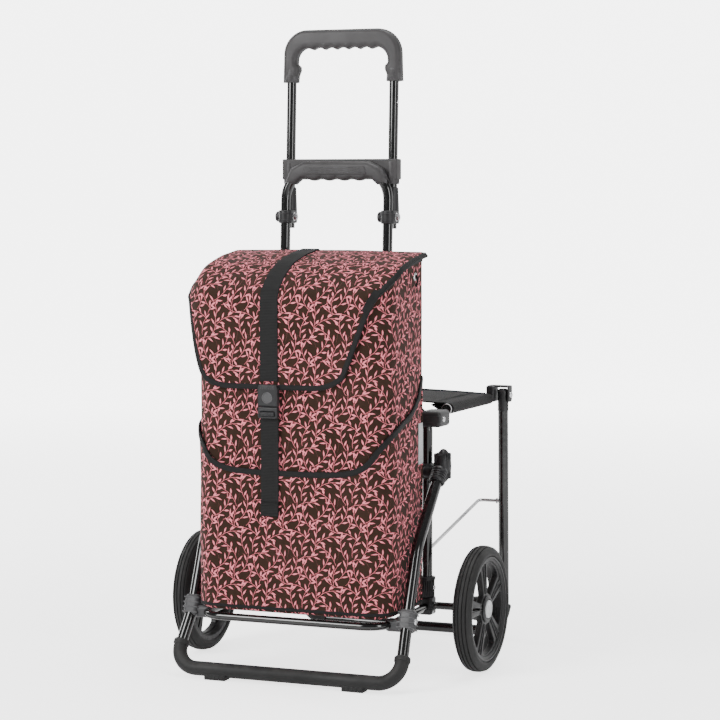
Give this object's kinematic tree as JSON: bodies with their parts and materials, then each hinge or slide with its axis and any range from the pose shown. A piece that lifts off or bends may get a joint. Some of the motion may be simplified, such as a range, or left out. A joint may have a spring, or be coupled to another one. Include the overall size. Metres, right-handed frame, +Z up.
{
  "type": "shopping trolley",
  "caption": "Two-wheeled shopping trolley with a lidded fabric bag, telescopic pull handle and a fold-up seat on a swinging rear leg.",
  "frame": {"origin": "on the floor under the middle of the trolley's bounding box", "axes": "+Z up, +X to the right as seen from the front (bag) side, -Y forward on the bag side, +Y on the seat side"},
  "size_m": [0.516, 0.518, 1.018],
  "materials": {
    "black_paint": "gloss",
    "dark_plastic": "satin",
    "grip_plastic": "satin",
    "black_rubber": "matte",
    "tyre_rubber": "matte",
    "bright_steel": "satin",
    "silver_plastic": "satin",
    "bag_canvas": "matte",
    "seat_cloth": "matte",
    "webbing": "matte"
  },
  "bodies": {
    "chassis": {"platform_rod": "black_paint", "seat_frame_tube": "black_paint", "handle_frame_tube": "black_paint", "lower_crossbar": "black_paint", "front_leg_tube": "black_paint", "foot_sleeve": "black_rubber", "lower_grip": "grip_plastic", "bag_body": "bag_canvas", "bag_base_board": "dark_plastic", "front_pocket": "bag_canvas", "strap_lower": "webbing", "buckle_lower": "dark_plastic", "upright_socket_right": "dark_plastic", "upright_socket_left": "dark_plastic", "crossbar_clip_right": "dark_plastic", "crossbar_clip_left": "dark_plastic", "front_bracket_right": "dark_plastic", "front_bracket_left": "dark_plastic", "leg_top_joint_right": "dark_plastic", "leg_top_joint_left": "dark_plastic", "seat_hinge_block_right": "grip_plastic", "seat_hinge_block_left": "grip_plastic", "foot_pad_right": "black_rubber", "foot_pad_left": "black_rubber", "pull_clamp_right": "dark_plastic", "pull_clamp_left": "dark_plastic", "clamp_knob_right": "dark_plastic", "clamp_knob_left": "dark_plastic", "clamp_nut_right": "bright_steel", "clamp_nut_left": "bright_steel"},
    "pull_handle": {"pull_handle_tube": "black_paint", "upper_grip": "grip_plastic"},
    "wheel_right": {"tyre_right": "tyre_rubber", "rim_right": "dark_plastic"},
    "hub_button_right": {"hub_button_right": "silver_plastic"},
    "wheel_left": {"tyre_left": "tyre_rubber", "rim_left": "dark_plastic"},
    "hub_button_left": {"hub_button_left": "silver_plastic"},
    "seat": {"seat_sling": "seat_cloth", "seat_rail_right": "black_paint", "seat_rail_left": "black_paint", "rail_pivot_right": "bright_steel", "rail_pivot_left": "bright_steel", "rear_knuckle_right": "grip_plastic", "rear_knuckle_left": "grip_plastic"},
    "rear_leg": {"rear_leg_tube": "black_paint", "rear_foot_cap_right": "black_rubber", "rear_foot_cap_left": "black_rubber", "rear_leg_cap_right": "dark_plastic", "rear_leg_cap_left": "dark_plastic"},
    "brace_right": {"brace_rod_right": "bright_steel"},
    "brace_left": {"brace_rod_left": "bright_steel"},
    "lid": {"bag_lid": "bag_canvas", "strap_upper": "webbing", "buckle_upper": "dark_plastic"},
    "buckle_press": {"buckle_release": "dark_plastic"}
  },
  "joints": [
    {"name": "seat_fold", "type": "hinge", "parent": "chassis", "child": "seat", "pos_m": [0, 0.0102, 0.401], "axis": [1, 0, 0], "range_deg": [0, 86]},
    {"name": "rear_leg_fold", "type": "hinge", "parent": "seat", "child": "rear_leg", "pos_m": [0, 0.2492, 0.416], "axis": [1, 0, 0], "range_deg": [-84, 0.5]},
    {"name": "handle_slide", "type": "slide", "parent": "chassis", "child": "pull_handle", "axis": [0, 0.04, 0.9992], "range_m": [-0.112, 0]},
    {"name": "lid_open", "type": "hinge", "parent": "chassis", "child": "lid", "pos_m": [0, -0.0778, 0.66168], "axis": [-1, 0, 0], "range_deg": [0, 103]},
    {"name": "buckle_press", "type": "slide", "parent": "chassis", "child": "buckle_press", "axis": [0, 1, 0], "range_m": [0, 0.0018], "stiffness_N_per_m": 400},
    {"name": "wheel_spin_right", "type": "hinge", "parent": "chassis", "child": "wheel_right", "pos_m": [0.2425, -0.0278, 0.1], "axis": [1, 0, 0], "continuous": true},
    {"name": "hub_button_right", "type": "slide", "parent": "wheel_right", "child": "hub_button_right", "axis": [-1, 0, 0], "range_m": [0, 0.003], "stiffness_N_per_m": 500},
    {"name": "brace_fold_right", "type": "hinge", "parent": "chassis", "child": "brace_right", "pos_m": [0.14, -0.0363, 0.174], "axis": [1, 0, 0], "range_deg": [-0.5, 68]},
    {"name": "wheel_spin_left", "type": "hinge", "parent": "chassis", "child": "wheel_left", "pos_m": [-0.2425, -0.0278, 0.1], "axis": [1, 0, 0], "continuous": true},
    {"name": "hub_button_left", "type": "slide", "parent": "wheel_left", "child": "hub_button_left", "axis": [1, 0, 0], "range_m": [0, 0.003], "stiffness_N_per_m": 500},
    {"name": "brace_fold_left", "type": "hinge", "parent": "chassis", "child": "brace_left", "pos_m": [-0.14, -0.0363, 0.174], "axis": [1, 0, 0], "range_deg": [-0.5, 68]}
  ],
  "couplings": [
    {"joint": "rear_leg_fold", "follows": "seat_fold", "ratio": -0.958},
    {"joint": "brace_fold_right", "follows": "seat_fold", "ratio": 0.77},
    {"joint": "brace_fold_left", "follows": "seat_fold", "ratio": 0.77}
  ]
}
